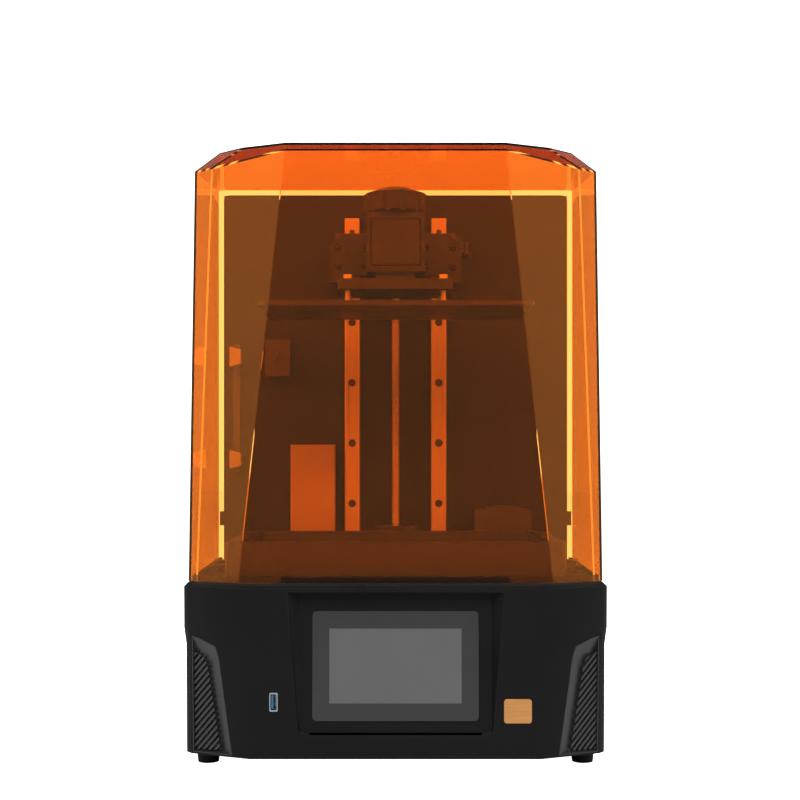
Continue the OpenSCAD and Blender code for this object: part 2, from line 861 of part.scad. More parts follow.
module bearing_housing(z0, z1, pocket_z) {
    half = 20;
    color([0.1, 0.1, 0.1]) from_front() difference() {
        block([-half, screw_y - 12.5, z0], [half, panel_y, z1]);
        post(0, screw_y, z0 - 1, z1 + 1, clear_r);
        post(0, screw_y, pocket_z, pocket_z + bearing_h, bearing_r);
    }
}

module lower_bearing_block() {
    bearing_housing(deck_z, 195, 187);
}

module top_bearing_block() {
    bearing_housing(502, 514, 504);
}

module screw_bearings() {
    color([0.7, 0.7, 0.72]) from_front() for (z = [187, 504]) difference() {
        post(0, screw_y, z, z + bearing_h, bearing_r);
        post(0, screw_y, z - 1, z + bearing_h + 1, screw_d / 2 + bearing_fit);
    }
}

// Optical limit switch, its slot open towards the front
module limit_switch() {
    slot_x = 66.5;
    color([0.08, 0.08, 0.09]) from_front() difference() {
        block([slot_x - 6, 226, 464], [slot_x + 6, panel_y, 476]);
        block([slot_x - 2, 225, 463], [slot_x + 2, 238, 477]);
    }
}

// ---------- moving carriage and platform ----------

module bearing_blocks() {
    channel_gap = 0.5;
    inner = rail_size / 2 + channel_gap;
    y1 = panel_y - 5;
    face_y = panel_y - rail_size - channel_gap;
    color([0.3, 0.3, 0.31]) from_front() both_sides() difference() {
        union() {
            block([rail_x - block_w / 2, block_front_y, block_z0],
                [rail_x + block_w / 2, y1, block_z0 + block_l]);
            post(rail_x, block_front_y + 5, block_z0 + block_l, block_z0 + block_l + 4, 2.4);
        }
        block([rail_x - inner, face_y, block_z0 - 1],
            [rail_x + inner, y1 + 1, block_z0 + block_l + 1]);
    }
}

module carriage_plate() {
    half = 64.5;
    leg = 43.7;
    cut = 12;
    flag_x = 66.5;
    outline = [[half, 434], [half, 481 - cut], [half - cut, 481]];
    color([0.17, 0.17, 0.18]) from_front() difference() {
        union() {
            front_outline(concat(outline, mirrored(outline)), carriage_y, block_front_y);
            block([half - 6, carriage_y, 463], [flag_x + 0.5, carriage_y + 2, 478]);
            block([flag_x - 0.5, carriage_y, 463], [flag_x + 0.5, 236, 478]);
        }
        block([-leg, carriage_y - 1, 430], [leg, block_front_y + 1, 441]);
        rod_y(60.5, 472, carriage_y - 1, carriage_y + 3, 1.6);
        both_sides() for (dx = [-13, 13], z = [449, 468])
            rod_y(rail_x + dx, z, carriage_y - 1, carriage_y + 4.5, 3.6);
    }
}

// Cantilever arm: a square beam with a gusset under it
module lift_arm() {
    gusset_half = 6;
    gusset_h = 10;
    color([0.2, 0.2, 0.21]) from_front() {
        block([-arm_half, arm_front_y, arm_z0], [arm_half, carriage_y, arm_z1]);
        translate([-gusset_half, 0, 0]) rotate([90, 0, 90]) linear_extrude(2 * gusset_half)
            polygon([[cage_y1 + 4, arm_z0], [carriage_y, arm_z0], [carriage_y, arm_z0 - gusset_h]]);
    }
}

module screw_nut() {
    color([0.72, 0.58, 0.3]) from_front() difference() {
        union() {
            block([-16, block_front_y, 446], [16, panel_y - 2.5, 456]);
            post(0, screw_y, 441, 470, 8.4);
        }
        post(0, screw_y, 440, 471, screw_d / 2 + 0.3);
    }
}

// Cage that hooks over the end of the arm, with the foot that carries the plate
module platform_bracket() {
    inner = arm_half + cage_gap;
    outer = inner + cage_wall;
    color([0.18, 0.18, 0.19]) from_front() {
        difference() {
            block([-outer, cage_y0, 432.5], [outer, cage_y1, cage_z1]);
            block([-inner, cage_y0 - 1, arm_z0 - cage_gap],
                [inner, cage_y1 + 1, arm_z1 + cage_gap]);
            post(0, knob_y, arm_z1, cage_z1 + 1, stud_r + 1.5);
        }
        block([-18, cage_y0 + 4, mount_z0 + mount_t], [18, cage_y1 - 4, 432.5]);
        difference() {
            flat_plate(0, 128, 104, 76, 5, mount_z0, mount_z0 + mount_t);
            both_sides() for (y = level_y) post(level_x, y, mount_z0 - 1, mount_z0 + mount_t + 1, 2.7);
        }
    }
}

module leveling_screws() {
    color([0.55, 0.55, 0.56]) from_front() both_sides() for (y = level_y) difference() {
        union() {
            post(level_x, y, plate_z + plate_t + boss_t, mount_z0 + mount_t, 2.5);
            post(level_x, y, mount_z0 + mount_t, mount_z0 + mount_t + 5, 4.2);
        }
        translate([level_x, y, mount_z0 + mount_t + 2]) cylinder(r = 2.2, h = 4, $fn = 6);
    }
}

module build_plate() {
    color([0.5, 0.5, 0.51]) from_front() {
        flat_plate(0, vat_y, plate_w, plate_d, 3, plate_z, plate_z + plate_t);
        flat_plate(0, 128, 128, 76, 4, plate_z + plate_t, plate_z + plate_t + boss_t);
    }
}

// Clamp knob: a wide scalloped cap whose top slopes out to its full width
module clamp_knob() {
    flat_r = 12.5;
    scallop_n = 12;
    slope_h = 6;
    base_z = cage_z1 + 0.4;
    color([0.13, 0.13, 0.14]) from_front() {
        difference() {
            translate([0, knob_y, base_z]) rotate_extrude()
                polygon([[0, 0], [knob_r - 2, 0], [knob_r, 2], [knob_r, knob_z1 - base_z - slope_h],
                    [flat_r, knob_z1 - base_z], [0, knob_z1 - base_z]]);
            for (i = [0 : scallop_n - 1])
                translate([0, knob_y, 0]) rotate([0, 0, (i + 0.5) * 360 / scallop_n])
                    translate([knob_r + 3.2, 0, base_z - 1]) cylinder(r = 5, h = 30, $fn = 32);
        }
        post(0, knob_y, arm_z1 + 0.2, base_z, stud_r + 1);
    }
}

// ---------- pieces on the back panel ----------

module air_filter_case() {
    x0 = -104;
    x1 = -60;
    color([0.82, 0.82, 0.82]) from_front() difference() {
        translate([(x0 + x1) / 2, (222 + panel_y) / 2, deck_z]) linear_extrude(275.5 - deck_z)
            rounded_rect(x1 - x0, panel_y - 222, 1.5);
        rod_y(-82, 219.8, 221, 223.5, 1.6);
    }
}

module side_heater() {
    x0 = 78;
    x1 = 134;
    step = 9;
    top = 214.6;
    color([0.12, 0.12, 0.12]) from_front()
        front_outline([[x0, deck_z], [x0, top - 5], [x0 + 3, top - 3], [x0 + step, top - 3],
            [x0 + step + 4, top], [x1 - step - 4, top], [x1 - step, top - 3], [x1 - 3, top - 3],
            [x1, top - 5], [x1, deck_z]], 215, panel_y);
}

// C-shaped metal bracket: two ears joined by a thin bar
module bracket_tabs() {
    x0 = -164.4;
    x1 = -153.4;
    ears = [[251.5, 270], [353, 373]];
    y0 = 226;
    color([0.8, 0.8, 0.8]) from_front()
        for (ear = ears)
            front_outline([[x0, ear[0]], [x1, ear[0] + 3], [x1, ear[1] - 3], [x0, ear[1]]],
                y0, panel_y - 3);
}

module bracket_bar() {
    color([0.12, 0.12, 0.12]) from_front()
        block([-162.5, panel_y - 3, 247.3], [-155.5, panel_y, 376.7]);
}

module camera_module() {
    color([0.12, 0.12, 0.12]) from_front() {
        wall_plate(-117.5, 362, 25, 36, 2, 230, panel_y);
        rod_y(-122, 364, 227, 230.5, 5);
    }
}

module hood_guide() {
    height = 5;
    color([0.08, 0.08, 0.08]) from_front() difference() {
        translate([0, 0, deck_z]) linear_extrude(height) polygon(guide_ring(hood_wall + 1));
        translate([0, 0, deck_z - 1]) linear_extrude(height + 2)
            polygon(guide_ring(hood_wall + 4));
        block([-200, panel_y - 4, deck_z - 1], [200, 300, deck_z + height + 1]);
    }
}

// ---------- hood ----------
// The hood is convex, so each corner is worked out where three of its faces meet.

hood_z0 = deck_z + 0.2;
hood_rear_y = panel_y - 1;
low_front = [132.3, 8, hood_z0];
low_side = [176.2, 28.1, hood_z0];
rear_side = [179.85, hood_rear_y, hood_z0];
wall_mid = [160.4, 54, hood_top_z - 18.2];
wall_side = [176.92, 70, hood_top_z - 18.4];
high_front = [94.8, 31.8, hood_top_z - 6.7];
top_front = [94.3, 37.7, hood_top_z];
top_side = [156.1, 79.5, hood_top_z];
// The side bevel narrows to the rear and would run out here, behind the open back
side_end = [180.27, 266, hood_top_z];
hood_centre = [0, 150, 300];

function face(a, b, c) = let (
    n = cross(b - a, c - a),
    unit = n / norm(n),
    out = (hood_centre - a) * unit < 0 ? unit : -unit
) [out, out * a];

function flat_x(v) = [0, v[1], v[2]];

function meet(p, q, r, inset) = let (
    d = [p[1] - inset, q[1] - inset, r[1] - inset],
    qr = cross(q[0], r[0]),
    rp = cross(r[0], p[0]),
    pq = cross(p[0], q[0])
) (d[0] * qr + d[1] * rp + d[2] * pq) / (p[0] * qr);

front_face = face(flat_x(low_front), flat_x(low_front) + [10, 0, 0], flat_x(high_front));
facet_1 = face(low_front, wall_mid, high_front);
facet_2 = face(wall_mid, low_side, wall_side);
side_face = face(low_side, rear_side, wall_side);
top_face = [[0, 0, 1], hood_top_z];
edge_front = face(flat_x(high_front), flat_x(high_front) + [10, 0, 0], flat_x(top_front));
edge_1 = face(high_front, top_front, wall_mid);
edge_2 = face(wall_mid, wall_side, top_side);
edge_side = face(wall_side, top_side, side_end);

// Corners of the right half; open_by moves the floor and the rear out past the walls
function hood_corners(inset, open_by) = let (
    floor_face = [[0, 0, -1], -hood_z0 + open_by + inset],
    rear_face = [[0, 1, 0], hood_rear_y + open_by + inset]
) [
    meet(front_face, facet_1, floor_face, inset),
    meet(facet_1, facet_2, floor_face, inset),
    meet(facet_2, side_face, floor_face, inset),
    meet(side_face, rear_face, floor_face, inset),
    meet(front_face, facet_1, edge_front, inset),
    meet(facet_1, facet_2, edge_1, inset),
    meet(facet_2, side_face, edge_side, inset),
    meet(side_face, rear_face, edge_side, inset),
    meet(top_face, edge_front, edge_1, inset),
    meet(top_face, edge_1, edge_2, inset),
    meet(top_face, edge_2, edge_side, inset),
    meet(top_face, edge_side, rear_face, inset)
];

function guide_ring(inset) = let (
    c = hood_corners(inset, 0),
    half = [for (i = [0 : 3]) [c[i][0], c[i][1]]]
) concat(half, mirrored(half));

// Convex solid of a set of corners and their mirror images
module convex(points) {
    all = concat(points, [for (p = points) [-p[0], p[1], p[2]]]);
    hull() polyhedron(points = all, faces = [for (i = [0 : len(all) - 3]) [i, i + 1, i + 2]]);
}

module hood() {
    notch_half = 98;
    notch_h = 5;
    open_by = 8;
    color([1, 0.45, 0.05, 0.4]) from_front() difference() {
        convex(hood_corners(0, 0));
        convex(hood_corners(hood_wall, open_by));
        front_outline([[-notch_half, hood_z0 - 1], [notch_half, hood_z0 - 1],
            [notch_half - 3, hood_z0 + notch_h], [3 - notch_half, hood_z0 + notch_h]], 0, 20);
    }
}

base_shell();
bottom_plate();
rubber_feet();
deck_plate();
hood_guide();
display_tray();
display_glass();
display_panel();
usb_shell();
usb_tongue();
badge();
grille_left();
grille_right();
power_inlet();
switch_frame();
switch_rocker();
exhaust_fan_frame();
exhaust_fan_rotor();
mainboard();
power_supply();
led_board();
led_heatsink();
led_lens_plate();
light_funnel();
led_fan_frame();
led_fan_rotor();
lcd_panel();
lcd_glass();
vat_frame();
vat_film();
vat_clamp_ring();
thumbscrew_left();
thumbscrew_right();
back_panel();
column_cover();
z_tower();
rail_left();
rail_right();
machine_screws();
lead_screw();
motor_rotor();
z_motor();
lower_bearing_block();
top_bearing_block();
screw_bearings();
limit_switch();
bearing_blocks();
carriage_plate();
lift_arm();
screw_nut();
platform_bracket();
leveling_screws();
build_plate();
clamp_knob();
air_filter_case();
side_heater();
bracket_tabs();
bracket_bar();
camera_module();
hood();
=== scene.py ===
"""Looks of a desktop resin printer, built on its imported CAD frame. Metres, +Z up, front towards -Y."""

import json
import math

import bmesh
import bpy
from mathutils import Matrix, Vector


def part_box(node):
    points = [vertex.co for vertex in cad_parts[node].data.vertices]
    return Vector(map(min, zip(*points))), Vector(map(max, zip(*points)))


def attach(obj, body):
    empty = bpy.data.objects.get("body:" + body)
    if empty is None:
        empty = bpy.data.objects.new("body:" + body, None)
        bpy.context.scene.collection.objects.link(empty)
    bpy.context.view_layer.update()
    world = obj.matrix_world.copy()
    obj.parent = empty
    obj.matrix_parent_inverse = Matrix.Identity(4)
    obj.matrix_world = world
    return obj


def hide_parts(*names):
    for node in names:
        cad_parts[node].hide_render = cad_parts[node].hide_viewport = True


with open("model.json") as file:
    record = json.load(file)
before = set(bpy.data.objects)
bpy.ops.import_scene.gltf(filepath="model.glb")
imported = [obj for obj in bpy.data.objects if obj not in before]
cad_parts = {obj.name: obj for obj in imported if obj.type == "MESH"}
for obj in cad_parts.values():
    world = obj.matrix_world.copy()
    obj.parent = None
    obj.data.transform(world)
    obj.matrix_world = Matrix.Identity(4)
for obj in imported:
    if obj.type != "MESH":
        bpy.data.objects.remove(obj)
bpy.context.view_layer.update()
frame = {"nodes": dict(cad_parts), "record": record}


# ---------- materials ----------


class Graph:
    """A small builder for the node tree of a material or of the world."""

    def __init__(self, owner, output_kind="ShaderNodeOutputMaterial"):
        self.owner = owner
        owner.use_nodes = True
        self.tree = owner.node_tree
        self.tree.nodes.clear()
        self.output = self.add(output_kind)

    def add(self, kind, inputs=None, **settings):
        node = self.tree.nodes.new(kind)
        for key, value in settings.items():
            setattr(node, key, value)
        for key, value in (inputs or {}).items():
            self.feed(node.inputs[key], value)
        return node

    def feed(self, socket, value):
        if isinstance(value, bpy.types.NodeSocket):
            self.tree.links.new(value, socket)
        elif socket.type == "RGBA":
            socket.default_value = (*value, 1)
        else:
            socket.default_value = value

    def noise(self, scale, detail=3.0, stretch=(1, 1, 1)):
        """Noise from 0 to 1 in the object's own coordinates; scale is in features per metre,
        and a stretch below 1 draws it out along that axis."""
        place = self.add("ShaderNodeTexCoord").outputs["Object"]
        place = self.add("ShaderNodeMapping", {"Vector": place, "Scale": stretch})
        return self.add(
            "ShaderNodeTexNoise",
            {"Vector": place.outputs["Vector"], "Scale": scale, "Detail": detail},
        ).outputs["Fac"]

    def spread(self, pattern, low, high, start=0.3, end=0.7):
        """Maps the part of a pattern between start and end onto low to high, and clamps the rest."""
        return self.add(
            "ShaderNodeMapRange",
            {"Value": pattern, "From Min": start, "From Max": end, "To Min": low, "To Max": high},
        ).outputs["Result"]

    def mix(self, factor, first, second):
        inputs = {"Fac": factor, "Color1": first, "Color2": second}
        return self.add("ShaderNodeMixRGB", inputs).outputs["Color"]

    def bump(self, height, distance):
        return self.add("ShaderNodeBump", {"Height": height, "Distance": distance}).outputs["Normal"]

    def edges(self, radius, low=0.02, high=0.3):
        """1 along the outer and inner edges, 0 on flat faces."""
        rounded = self.add("ShaderNodeBevel", {"Radius": radius}, samples=4).outputs["Normal"]
        flat = self.add("ShaderNodeNewGeometry").outputs["Normal"]
        dot = self.add("ShaderNodeVectorMath", {0: rounded, 1: flat}, operation="DOT_PRODUCT")
        return self.spread(dot.outputs["Value"], 1, 0, 1 - high, 1 - low)

    def absolute(self, value):
        return self.add("ShaderNodeMath", {0: value}, operation="ABSOLUTE").outputs["Value"]

    def times(self, a, b):
        return self.add("ShaderNodeMath", {0: a, 1: b}, operation="MULTIPLY").outputs["Value"]

    def blend(self, factor, first, second):
        inputs = {0: factor, 1: first, 2: second}
        return self.add("ShaderNodeMixShader", inputs).outputs["Shader"]

    def seen_straight(self):
        """1 for rays from the camera, also after clear sheets, and 0 once one has been scattered."""
        path = self.add("ShaderNodeLightPath").outputs
        rays = {0: path["Is Camera Ray"], 1: path["Is Transmission Ray"]}
        either = self.add("ShaderNodeMath", rays, operation="MAXIMUM").outputs["Value"]
        return self.times(either, self.spread(path["Diffuse Depth"], 1, 0, 0, 1))

    def surface(self, shader):
        self.feed(self.output.inputs["Surface"], shader)
        return self.owner

    def principled(self, **inputs):
        return self.add("ShaderNodeBsdfPrincipled", inputs).outputs["BSDF"]


def material_graph(name):
    return Graph(bpy.data.materials.new(name))


def scaled(color, factor):
    return tuple(min(1.0, c * factor) for c in color)


def plastic(name, color, roughness, grain=1400, depth=0.00003, specular=0.5, wear_and_painted_highlight=0.0):
    """Moulded plastic or paint: fine grain, cloudy roughness, and edges made a little lighter, partly as
    rubbing and partly as a painted highlight.
    """
    g = material_graph(name)
    cloud = g.noise(14, 4)
    tone = g.mix(g.spread(cloud, 0, 1), scaled(color, 0.85), scaled(color, 1.15))
    if wear_and_painted_highlight:
        # Lighter edges: partly rubbed wear, partly a painted highlight along the edges
        scuffs_and_painted_highlight = g.times(g.edges(0.0008), g.spread(g.noise(160, 5), 0.35, 1))
        tone = g.mix(scuffs_and_painted_highlight, tone, tuple(c + wear_and_painted_highlight for c in color))
    rough = g.spread(g.noise(55, 5), roughness - 0.05, roughness + 0.06)
    normal = g.bump(g.noise(grain, 2), depth)
    return g.surface(
        g.principled(
            **{
                "Base Color": tone,
                "Roughness": rough,
                "Normal": normal,
                "Specular IOR Level": specular,
            }
        )
    )


def metal(name, color, roughness, stretch=(1, 1, 1), grain=900, depth=0.00001, metallic=1.0):
    """Machined metal: tool marks across the stretched axis, cloudy roughness."""
    g = material_graph(name)
    marks = g.noise(grain, 4, stretch)
    tone = g.mix(g.spread(marks, 0, 1), scaled(color, 0.86), scaled(color, 1.08))
    rough = g.spread(g.noise(40, 4), roughness - 0.05, roughness + 0.08)
    normal = g.bump(marks, depth)
    return g.surface(
        g.principled(
            **{
                "Base Color": tone,
                "Metallic": metallic,
                "Roughness": rough,
                "Normal": normal,
            }
        )
    )


def clear_sheet(g, color, roughness, ior, for_lamps, haze=None):
    """Clear tinted sheet. Rays from lamps pass straight through it."""
    sheet = g.principled(
        **{
            "Base Color": color,
            "Roughness": g.spread(g.noise(25, 5), roughness * 0.6, roughness * 1.4),
            "IOR": ior,
            "Transmission Weight": 1.0,
        }
    )
    if haze is not None:
        sheet = g.blend(haze, sheet, g.add("ShaderNodeBsdfDiffuse", {"Color": color}).outputs["BSDF"])
    through = g.add("ShaderNodeBsdfTransparent", {"Color": for_lamps}).outputs["BSDF"]
    return g.surface(g.blend(g.add("ShaderNodeLightPath").outputs["Is Shadow Ray"], sheet, through))


def for_lamp(color):
    """Tint of one of a sheet's two surfaces."""
    return tuple(math.sqrt(c) for c in color)


def acrylic(name, color, roughness, ior=1.49):
    return clear_sheet(material_graph(name), color, roughness, ior, for_lamp(color))


def hood_acrylic(name, color, painted_light_side_color, painted_shade_bevel_color, haze):
    """Orange acrylic whose colour carries painted light and shade: a painted lighter tint on the corner
    facets and at the sides, and a painted darker tint in the bevels under the top. The corner facets are
    also a little hazy."""
    g = material_graph(name)
    facing = g.add("ShaderNodeTexCoord").outputs["Normal"]
    way = g.add("ShaderNodeSeparateXYZ", {"Vector": facing})
    across, forward, up = (g.absolute(way.outputs[axis]) for axis in "XYZ")
    upright = g.spread(up, 1, 0, 0.25, 0.35)
    around = g.times(upright, g.spread(across, 0, 1, 0.2, 0.3))
    facets = g.times(around, g.spread(forward, 0, 1, 0.3, 0.4))
    bevels = g.times(g.spread(up, 0, 1, 0.25, 0.35), g.spread(up, 1, 0, 0.97, 0.99))
    # Painted light and shade: sideways faces get a lighter tint, and forward bevels under the top a darker
    # one, in place of how light passes the sheet there
    sheet_color_and_painted_light = g.mix(around, color, painted_light_side_color)
    sheet_color_and_painted_light = g.mix(g.times(bevels, g.spread(forward, 0, 1, 0.15, 0.25)), sheet_color_and_painted_light, painted_shade_bevel_color)
    return clear_sheet(g, sheet_color_and_painted_light, 0.008, 1.34, for_lamp(color), g.spread(facets, 0, haze, 0, 1))


def screen(name, color):
    """Switched-off panel under a satin cover: a faint pixel weave and fingerprints."""
    g = material_graph(name)
    tone = g.mix(g.spread(g.noise(30, 3), 0, 1), scaled(color, 0.97), scaled(color, 1.03))
    smears = g.spread(g.noise(60, 6), 0.28, 0.4)
    return g.surface(
        g.principled(**{"Base Color": tone, "Roughness": smears, "Specular IOR Level": 0.3})
    )


LOOKS = {
    # The shell's lighter edges are partly wear and partly a painted highlight along its top and side edges
    "shell_plastic": plastic("shell_plastic", (0.0035, 0.0035, 0.0036), 0.45, wear_and_painted_highlight=0.03, specular=0.12),
    "tray_plastic": plastic("tray_plastic", (0.0048, 0.0048, 0.005), 0.5, specular=0.1),
    "grille_plastic": plastic("grille_plastic", (0.016, 0.016, 0.0165), 0.42, specular=0.5),
    "sheet_steel": plastic(
        "sheet_steel", (0.007, 0.007, 0.007), 0.55, grain=2200, depth=0.00006, specular=0.15
    ),
    "rubber": plastic("rubber", (0.008, 0.008, 0.008), 0.8, grain=900, depth=0.00008, specular=0.2),
    "bezel_glass": screen("bezel_glass", (0.025, 0.025, 0.0253)),
    "screen": screen("screen", (0.086, 0.086, 0.086)),
    "usb_metal": metal("usb_metal", (0.3, 0.36, 0.4), 0.4, metallic=0.8),
    "blue_plastic": plastic("blue_plastic", (0.02, 0.1, 0.22), 0.4),
    "bronze": metal("bronze", (0.46, 0.21, 0.055), 0.45, stretch=(0.05, 1, 1), metallic=0.3),
    "socket_plastic": plastic("socket_plastic", (0.01, 0.01, 0.01), 0.5),
    "rocker_plastic": plastic("rocker_plastic", (0.012, 0.012, 0.012), 0.3),
    "fan_plastic": plastic("fan_plastic", (0.012, 0.012, 0.012), 0.45),
    "circuit_board": plastic("circuit_board", (0.01, 0.09, 0.04), 0.35, grain=300),
    "bare_steel": metal("bare_steel", (0.55, 0.56, 0.57), 0.35, stretch=(1, 0.05, 1)),
    "led_board": plastic("led_board", (0.75, 0.75, 0.73), 0.35),
    "bare_aluminium": metal("bare_aluminium", (0.7, 0.71, 0.72), 0.4, stretch=(1, 1, 0.04)),
    "lens_glass": acrylic("lens_glass", (0.95, 0.96, 0.97), 0.05),
    "lcd": plastic("lcd", (0.012, 0.012, 0.014), 0.2, grain=600, depth=0.00001),
    "lcd_cover": plastic("lcd_cover", (0.02, 0.022, 0.026), 0.12, grain=600, depth=0.000005),
    "vat_metal": metal("vat_metal", (0.012, 0.016, 0.02), 0.5, stretch=(0.05, 1, 1), metallic=0.1),
    "film": acrylic("film", (0.93, 0.94, 0.96), 0.1, ior=1.35),
    "screw_steel": metal("screw_steel", (0.5, 0.5, 0.51), 0.35),
    "black_metal": plastic("black_metal", (0.015, 0.015, 0.016), 0.4, grain=1800),
    "panel_black": plastic("panel_black", (0.019, 0.025, 0.031), 0.55, grain=1800, specular=0.15),
    "rail_steel": metal("rail_steel", (0.42, 0.37, 0.36), 0.45, stretch=(1, 1, 0.04), metallic=0.5),
    "rotor_steel": metal("rotor_steel", (0.35, 0.35, 0.36), 0.4, stretch=(1, 1, 12)),
    "motor_case": plastic("motor_case", (0.015, 0.015, 0.016), 0.45),
    "bearing_steel": metal("bearing_steel", (0.6, 0.6, 0.62), 0.2),
    "sensor_plastic": plastic("sensor_plastic", (0.02, 0.02, 0.02), 0.45),
    "block_steel": metal("block_steel", (0.06, 0.06, 0.06), 0.4, stretch=(1, 1, 0.05), metallic=0.5),
    "carriage_metal": metal("carriage_metal", (0.016, 0.02, 0.024), 0.5, stretch=(0.06, 1, 1), metallic=0.3),
    "arm_metal": metal("arm_metal", (0.014, 0.018, 0.022), 0.5, stretch=(1, 0.06, 1), metallic=0.3),
    "brass": metal("brass", (0.75, 0.5, 0.2), 0.3),
    "plate_metal": metal("plate_metal", (0.022, 0.028, 0.033), 0.5, stretch=(0.05, 1, 1), metallic=0.2),
    "knob_plastic": plastic("knob_plastic", (0.016, 0.019, 0.022), 0.5, specular=0.3),
    "light_plastic": plastic("light_plastic", (0.29, 0.25, 0.26), 0.5),
    "module_plastic": plastic("module_plastic", (0.02, 0.024, 0.028), 0.5),
    "bracket_steel": plastic("bracket_steel", (0.36, 0.35, 0.35), 0.45),
    "bar_metal": plastic("bar_metal", (0.045, 0.05, 0.055), 0.45),
    "camera_plastic": plastic("camera_plastic", (0.035, 0.038, 0.042), 0.45),
    # Hood: front tint, a painted lighter tint for sides and facets, a painted darker tint for the bevels,
    # and facet haze
    "amber_acrylic": hood_acrylic(
        "amber_acrylic", (0.96, 0.35, 0.065), (0.98, 0.42, 0.09), (0.4, 0.08, 0.008), 0.035
    ),
}
LENS = acrylic("dark_lens", (0.15, 0.12, 0.2), 0.02, ior=1.6)

NODE_SLOTS = {s["node"]: s["material_slot"] for s in frame["record"]["subparts"]}

# Edge roundings in metres: the usual one, and those of the nodes that differ
USUAL_EDGE = 0.0004
EDGES = {
    "base_shell": 0.0009,
    "hood": 0.0007,
    "vat_frame": 0.0008,
    "clamp_knob": 0.0007,
    "column_cover": 0.0008,
    "rubber_feet": 0.0008,
    "usb_shell": 0.0002,
    "usb_tongue": 0.0002,
    "grille_left": 0.0002,
    "grille_right": 0.0002,
    "badge": 0.0003,
    "vat_film": 0,
    "machine_screws": 0.0002,
}

# Clear nodes made of flat faces only, which keep flat shading
FLAT = ("hood", "vat_film")


def dress(node, name):
    """Gives a CAD node its finish, smooth shading and softened edges."""
    mesh = node.data
    mesh.materials.clear()
    mesh.materials.append(LOOKS[NODE_SLOTS[name]])
    if "custom_normal" in mesh.attributes:
        mesh.attributes.remove(mesh.attributes["custom_normal"])
    for polygon in mesh.polygons:
        polygon.use_smooth = name not in FLAT
        polygon.material_index = 0
    weld = node.modifiers.new("Weld", "WELD")
    weld.merge_threshold = 0.000002
    width = EDGES.get(name, USUAL_EDGE)
    if width:
        bevel = node.modifiers.new("Bevel", "BEVEL")
        bevel.width = width
        bevel.segments = 2
        bevel.limit_method = "ANGLE"
        bevel.angle_limit = math.radians(32)
        bevel.harden_normals = True


for node_name, node_object in frame["nodes"].items():
    dress(node_object, node_name)


# ---------- pieces with more detail than the solids ----------


def piece(name, bm, slot, body, material=None):
    """Finishes a mesh in the row frame as a piece that rides on a body."""
    bmesh.ops.recalc_face_normals(bm, faces=bm.faces)
    mesh = bpy.data.meshes.new(name)
    bm.to_mesh(mesh)
    bm.free()
    mesh.materials.append(material or LOOKS[slot])
    thing = bpy.data.objects.new(name, mesh)
    bpy.context.collection.objects.link(thing)
    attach(thing, body)
    return thing


def hexagon(angle):
    """Radius of a hexagon at an angle, as a share of its inner radius."""
    return 1 / math.cos((angle + math.pi / 6) % (math.pi / 3) - math.pi / 6)


def turn(bm, profile, place, segments=36):
    """Adds a turned shape. A profile is (radius, height, is it a hexagon) from centre to centre."""
    rings = []
    for radius, height, six in profile:
        if radius == 0:
            rings.append([bm.verts.new(place @ Vector((0, 0, height)))])
            continue
        ring = []
        for i in range(segments):
            angle = 2 * math.pi * i / segments
            r = radius * (hexagon(angle) if six else 1)
            ring.append(bm.verts.new(place @ Vector((r * math.cos(angle), r * math.sin(angle), height))))
        rings.append(ring)
    for low, high in zip(rings, rings[1:]):
        for i in range(segments):
            j = (i + 1) % segments
            corners = [low[i % len(low)], low[j % len(low)], high[j % len(high)], high[i % len(high)]]
            unique = list(dict.fromkeys(corners))
            face = bm.faces.new(unique)
            face.smooth = True


def standing(point, outward):
    """Placement with the local Z axis pointing outward at a point."""
    turned = Vector(outward).to_track_quat("Z", "Y").to_matrix().to_4x4()
    return Matrix.Translation(point) @ turned


def socket_head(radius, height):
    """Profile of a socket head cap screw, its seat at height 0."""
    hole = radius * 0.42
    edge = radius * 0.12
    return [
        (0, 0, False),
        (radius, 0, False),
        (radius, height - edge, False),
        (radius - edge, height, False),
        (hole * 1.2, height, False),
        (hole * 1.12, height, True),
        (hole, height - edge, True),
        (hole, height * 0.45, True),
        (0, height * 0.4, False),
    ]


def screws(name, points, outward, profile, slot, body):
    """A group of equal screw heads, seated at the points."""
    bm = bmesh.new()
    for point in points:
        turn(bm, profile, standing(Vector(point), outward))
    return piece(name, bm, slot, body)


def lead_screw():
    """The screw with its two-start right-handed thread, in place of the plain rod."""
    low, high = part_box("lead_screw")
    radius = (high.x - low.x) / 2
    centre = (low + high) / 2
    lead = 0.004
    starts = 2
    depth = 0.0009
    flank = 2.6
    root = 0.25
    ring_step = 0.0002
    sides = 24
    rows = int((high.z - low.z) / ring_step)
    bm = bmesh.new()
    rings = []
    for k in range(rows + 1):
        z = low.z + (high.z - low.z) * k / rows
        ring = []
        for i in range(sides):
            angle = 2 * math.pi * i / sides
            phase = (starts * (z / lead - i / sides)) % 1
            crest = min(1, max(0, flank * abs(phase - 0.5) - root))
            r = radius - depth * (1 - crest)
            ring.append(bm.verts.new((centre.x + r * math.cos(angle), centre.y + r * math.sin(angle), z)))
        rings.append(ring)
    for a, b in zip(rings, rings[1:]):
        for i in range(sides):
            j = (i + 1) % sides
            bm.faces.new((a[i], a[j], b[j], b[i])).smooth = True
    bm.faces.new(list(reversed(rings[0])))
    bm.faces.new(rings[-1])
    rod = piece("threaded_screw", bm, "rail_steel", "screw")
    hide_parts("lead_screw")


lead_screw()


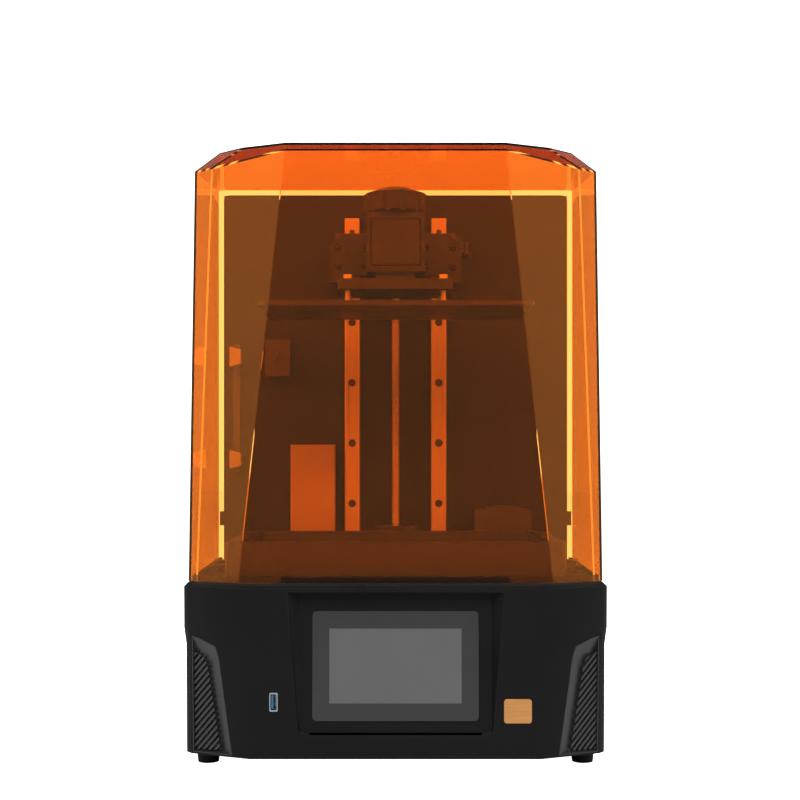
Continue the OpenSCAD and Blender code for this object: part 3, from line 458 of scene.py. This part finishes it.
def carriage_screws():
    """Cap screws in the carriage plate's counterbores, four over each rail block."""
    low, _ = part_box("carriage_plate")
    seat_y = low.y + 0.0045
    rail_x = 0.043
    half_pitch = 0.013
    rows = (0.449, 0.468)
    centres = [
        (side * rail_x + dx, seat_y, z)
        for side in (-1, 1)
        for dx in (-half_pitch, half_pitch)
        for z in rows
    ]
    head = socket_head(radius=0.0032, height=0.0036)
    screws("carriage_screws", centres, (0, -1, 0), head, "black_metal", "lift")


carriage_screws()


def camera_lens():
    """Ringed lens on the front of the camera module."""
    low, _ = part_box("camera_module")
    barrel_x, barrel_z = -0.122, 0.364
    sunk = 0.0025
    profile = [
        (0, 0, False),
        (0.0044, 0, False),
        (0.0044, 0.0021, False),
        (0.0036, 0.0024, False),
        (0.0032, 0.0018, False),
        (0.0016, 0.0022, False),
        (0, 0.0024, False),
    ]
    bm = bmesh.new()
    turn(bm, profile, standing(Vector((barrel_x, low.y + sunk, barrel_z)), (0, -1, 0)))
    piece("camera_lens", bm, "camera_plastic", "base", LENS)


camera_lens()


# ---------- stage ----------

EYE_DISTANCE = 1.165
EYE_HEIGHT = 0.2648


def studio_floor():
    """White paper floor that shines by itself where it is seen straight."""
    bm = bmesh.new()
    half = 9
    corners = [(-half, -half, 0), (half, -half, 0), (half, half, 0), (-half, half, 0)]
    bm.faces.new([bm.verts.new(c) for c in corners])
    mesh = bpy.data.meshes.new("floor")
    bm.to_mesh(mesh)
    bm.free()
    g = material_graph("floor_paper")
    paper = {
        "Base Color": (0.86, 0.86, 0.86),
        "Roughness": 0.9,
        "Emission Color": (1, 1, 1),
        "Emission Strength": g.spread(g.seen_straight(), 0, 1.4, 0, 1),
    }
    mesh.materials.append(g.surface(g.principled(**paper)))
    floor = bpy.data.objects.new("floor", mesh)
    bpy.context.collection.objects.link(floor)


studio_floor()


def softbox(name, place, target, size, power):
    light = bpy.data.lights.new(name, "AREA")
    light.shape = "RECTANGLE"
    light.size, light.size_y = size
    light.energy = power
    lamp = bpy.data.objects.new(name, light)
    lamp.location = place
    lamp.rotation_euler = (Vector(target) - Vector(place)).to_track_quat("-Z", "Y").to_euler()
    bpy.context.collection.objects.link(lamp)


softbox("key", (-0.55, -1.9, 2.0), (0, 0, 0.3), (1.2, 1.0), 24)
softbox("fill", (0.55, -1.9, 2.0), (0, 0, 0.3), (1.2, 1.0), 24)
softbox("left", (-1.7, -0.7, 1.5), (0, 0, 0.2), (0.7, 0.7), 24)
softbox("right", (1.7, -0.7, 1.5), (0, 0, 0.2), (0.7, 0.7), 24)
softbox("top", (0, 0.8, 2.3), (0, 0, 0.3), (2.0, 1.2), 14)


def backdrop():
    """White where it is seen straight; dimmer where it lights the object or mirrors in it."""
    world = bpy.data.worlds.new("studio")
    g = Graph(world, "ShaderNodeOutputWorld")
    seen, lighting = (
        g.add("ShaderNodeBackground", {"Color": (1, 1, 1), "Strength": strength}).outputs["Background"]
        for strength in (1.8, 0.22)
    )
    bpy.context.scene.world = g.surface(g.blend(g.seen_straight(), lighting, seen))


backdrop()


def front_camera():
    """Level camera in front of the middle of the base's front face."""
    lens = bpy.data.cameras.new("camera")
    lens.lens = 63.05
    lens.shift_x = 0.0056
    lens.shift_y = 0.0694
    viewer = bpy.data.objects.new("camera", lens)
    viewer.location = (0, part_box("base_shell")[0].y - EYE_DISTANCE, EYE_HEIGHT)
    viewer.rotation_euler = (math.radians(90), 0, 0)
    bpy.context.collection.objects.link(viewer)
    bpy.context.scene.camera = viewer


front_camera()
bpy.context.scene.view_settings.view_transform = "Standard"
